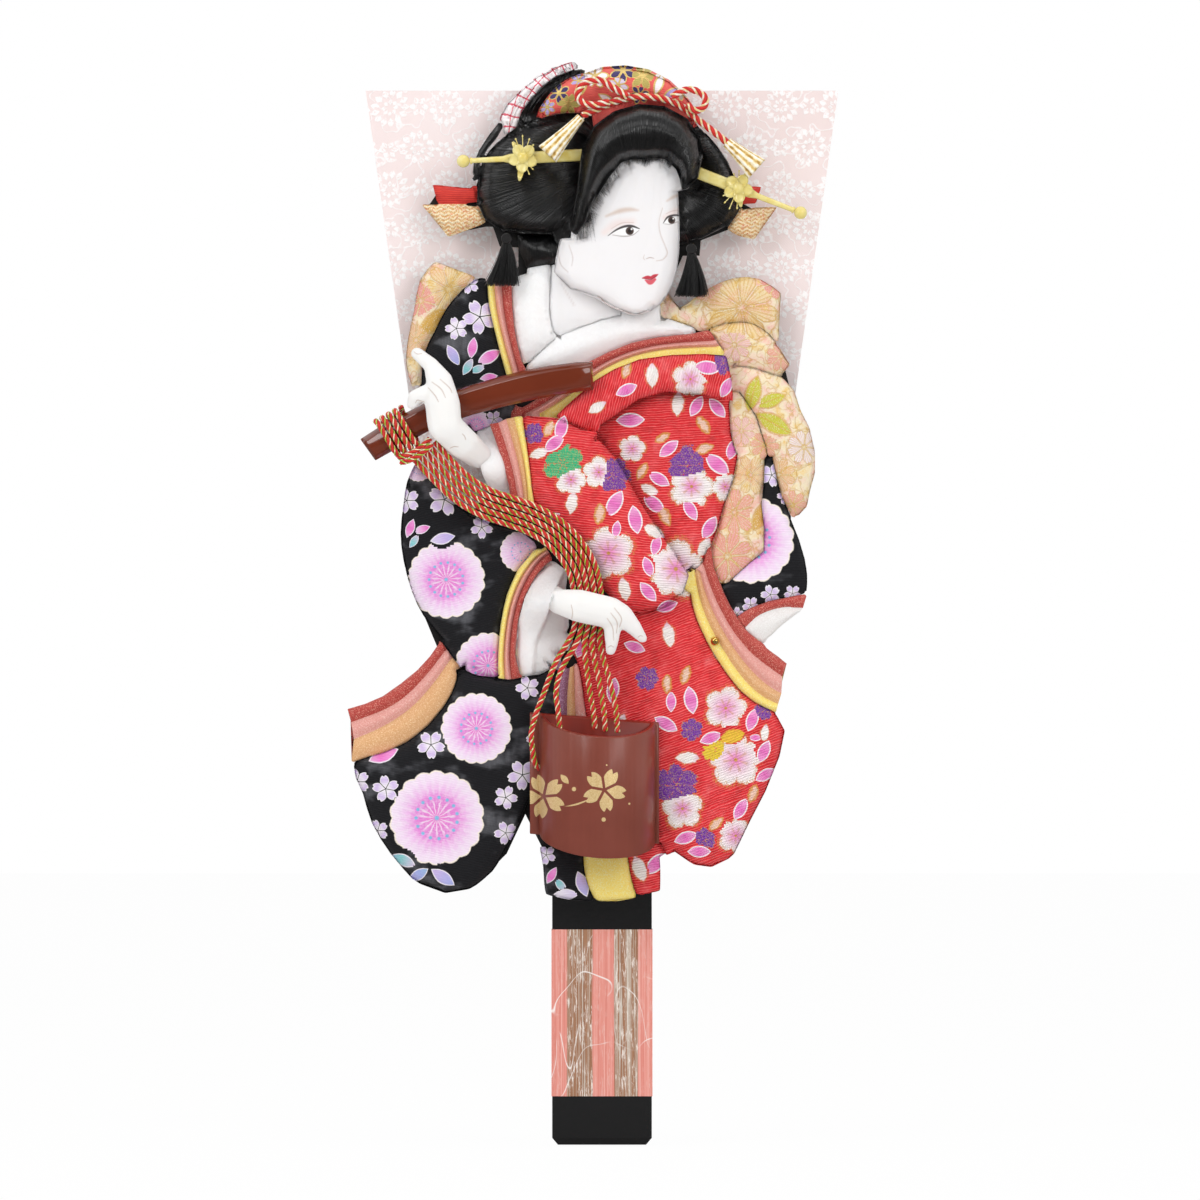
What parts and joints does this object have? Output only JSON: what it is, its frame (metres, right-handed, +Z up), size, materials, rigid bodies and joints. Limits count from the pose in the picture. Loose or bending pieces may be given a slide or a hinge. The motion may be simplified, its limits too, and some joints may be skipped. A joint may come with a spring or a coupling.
{
  "type": "decorative battledore",
  "caption": "Decorative paddle board with a padded cloth picture of a kimono figure carrying a pole and bucket, with loose hairpins and hanging hair tufts.",
  "frame": {"origin": "centre of the flat lower end of the handle", "axes": "+Z up along the handle and blade, -Y towards the viewer out of the picture side, +X to the viewer's right"},
  "size_m": [0.2115, 0.0588, 0.4653],
  "materials": {
    "wood": "planed, unvarnished",
    "damask": "woven damask",
    "black_lacquer": "glossy",
    "striped_paper": "satin",
    "card": "matte",
    "gold_brocade": "brocade",
    "black_crepe": "printed crepe",
    "red_crepe": "printed crepe",
    "banded_cloth": "satin bands",
    "white_silk": "textured silk",
    "skin_silk": "smooth silk",
    "hair": "silk thread, glossy",
    "red_print": "printed crepe",
    "dotted_cloth": "tie-dyed crepe",
    "twisted_cord": "twisted cord",
    "gold_paper": "printed paper",
    "brown_lacquer": "glossy",
    "pin_resin": "glossy",
    "brass": "polished"
  },
  "bodies": {
    "board_and_figure": {"board": "wood", "blade_cloth": "damask", "handle_wrap": "black_lacquer", "handle_band": "striped_paper", "cleat": "wood", "figure_card": "card", "bow_left": "gold_brocade", "bow_right_top": "gold_brocade", "bow_right_mid": "gold_brocade", "bow_tail": "gold_brocade", "sash": "gold_brocade", "back_sleeve": "black_crepe", "back_cuff": "banded_cloth", "hem_right": "banded_cloth", "hem_left": "banded_cloth", "nail": "brass", "black_skirt": "black_crepe", "red_skirt": "red_crepe", "panel_red": "red_crepe", "panel_gold": "banded_cloth", "panel_black": "black_crepe", "inner_layers": "banded_cloth", "black_shoulder": "black_crepe", "collar_left": "banded_cloth", "collar_white_left": "white_silk", "collar_white_right": "white_silk", "collar_right": "banded_cloth", "neck": "skin_silk", "face": "skin_silk", "hair_front": "hair", "hair_wing": "hair", "hair_topknot": "hair", "hair_right": "hair", "hair_nape": "hair", "red_cloth": "red_print", "dotted_cloth": "dotted_cloth", "bow_cord": "twisted_cord", "tassel_left": "gold_paper", "tassel_right": "gold_paper", "side_left": "gold_brocade", "side_right": "gold_brocade", "red_flap": "red_crepe", "red_bodice": "red_crepe", "red_sleeve": "red_crepe", "wrist_bands": "banded_cloth", "wrist_lining": "white_silk", "black_sleeve": "black_crepe", "cuff_bands": "banded_cloth", "cuff_lining": "white_silk", "hand_upper": "skin_silk", "hand_lower": "skin_silk", "pole": "brown_lacquer", "pole_winding": "twisted_cord", "cords": "twisted_cord", "bucket": "brown_lacquer"},
    "hairpin_left": {"hairpin_left": "pin_resin"},
    "hairpin_right": {"hairpin_right": "pin_resin"},
    "tuft_left": {"tuft_left": "hair"},
    "tuft_right": {"tuft_right": "hair"}
  },
  "joints": [
    {"name": "hairpin_left_slide", "type": "slide", "parent": "board_and_figure", "child": "hairpin_left", "axis": [-0.9986, 0, -0.0523], "range_m": [0, 0.03]},
    {"name": "hairpin_right_slide", "type": "slide", "parent": "board_and_figure", "child": "hairpin_right", "axis": [0.9317, 0, -0.3633], "range_m": [0, 0.03]},
    {"name": "tuft_left_swing", "type": "hinge", "parent": "board_and_figure", "child": "tuft_left", "pos_m": [-0.041, -0.0296, 0.3905], "axis": [0, 1, 0], "range_deg": [-12, 12]},
    {"name": "tuft_right_swing", "type": "hinge", "parent": "board_and_figure", "child": "tuft_right", "pos_m": [0.0384, -0.0296, 0.386], "axis": [0, 1, 0], "range_deg": [-14, 3]}
  ]
}
